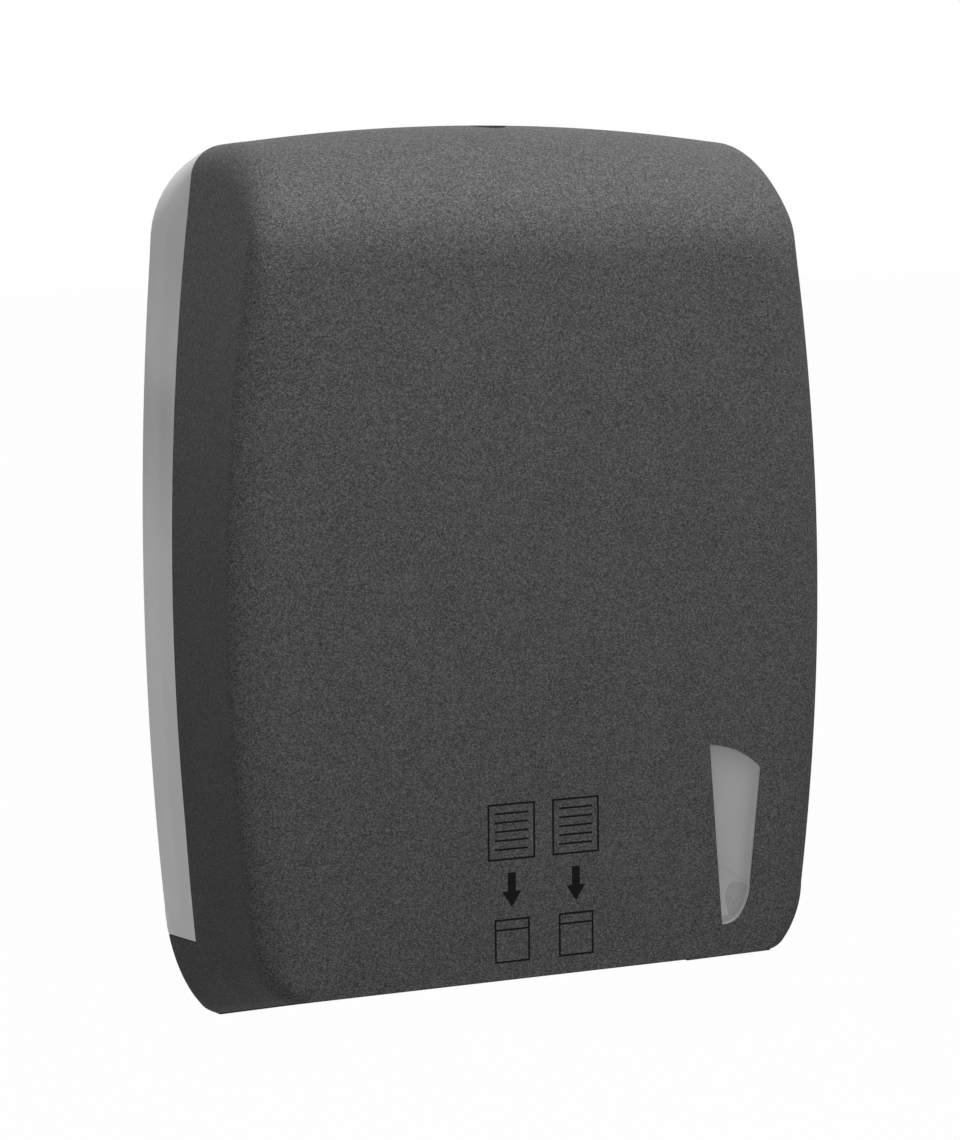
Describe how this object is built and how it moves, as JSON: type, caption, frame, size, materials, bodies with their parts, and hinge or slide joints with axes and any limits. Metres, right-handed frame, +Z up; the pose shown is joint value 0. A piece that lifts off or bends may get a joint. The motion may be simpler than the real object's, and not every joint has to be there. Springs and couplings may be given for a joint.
{
  "type": "folded toilet paper dispenser",
  "caption": "Wall-mounted dispenser for folded toilet paper: dark hood with a small window over a clear smoke shell, hinged at the lower rear, with a key lock on top.",
  "frame": {"origin": "centre of the back in the wall plane, midway between the four wall holes", "axes": "+X to the viewer's right, +Y into the wall, +Z up; the front faces -Y"},
  "size_m": [0.2618, 0.125, 0.37],
  "materials": {
    "skin_plastic": "dark charcoal, fine sparkle texture",
    "smoke_plastic": "clear smoke grey",
    "base_plastic": "light grey, satin",
    "guide_plastic": "light grey, satin",
    "tray_plastic": "dark grey, satin",
    "black_plastic": "black, satin",
    "nylon": "natural nylon",
    "steel": "zinc plated",
    "screw_steel": "zinc plated",
    "lock_metal": "satin zinc alloy"
  },
  "bodies": {
    "base": {"back_plate": "base_plastic", "hinge_pin_left": "steel", "hinge_pin_right": "steel", "paper_tray": "tray_plastic", "tray_screws": "screw_steel", "side_guide_left": "guide_plastic", "side_guide_right": "guide_plastic", "guide_screws": "screw_steel", "centre_divider": "guide_plastic", "divider_screws": "screw_steel", "lock_strike": "steel", "strike_screws": "screw_steel"},
    "cover": {"cover_skin": "skin_plastic", "inner_shell": "smoke_plastic", "push_nuts": "steel", "hinge_bush_left": "nylon", "hinge_bush_right": "nylon", "lock_housing": "black_plastic", "housing_screws": "screw_steel", "lock_bezel": "black_plastic"},
    "lock": {"lock_barrel": "lock_metal", "lock_cam": "steel", "cam_screw": "screw_steel"}
  },
  "joints": [
    {"name": "cover_hinge", "type": "hinge", "parent": "base", "child": "cover", "pos_m": [0, -0.017, -0.169], "axis": [1, 0, 0], "range_deg": [0, 105]},
    {"name": "lock_turn", "type": "hinge", "parent": "cover", "child": "lock", "pos_m": [0, -0.067, 0.16], "axis": [0, 0, 1], "range_deg": [0, 90]}
  ]
}
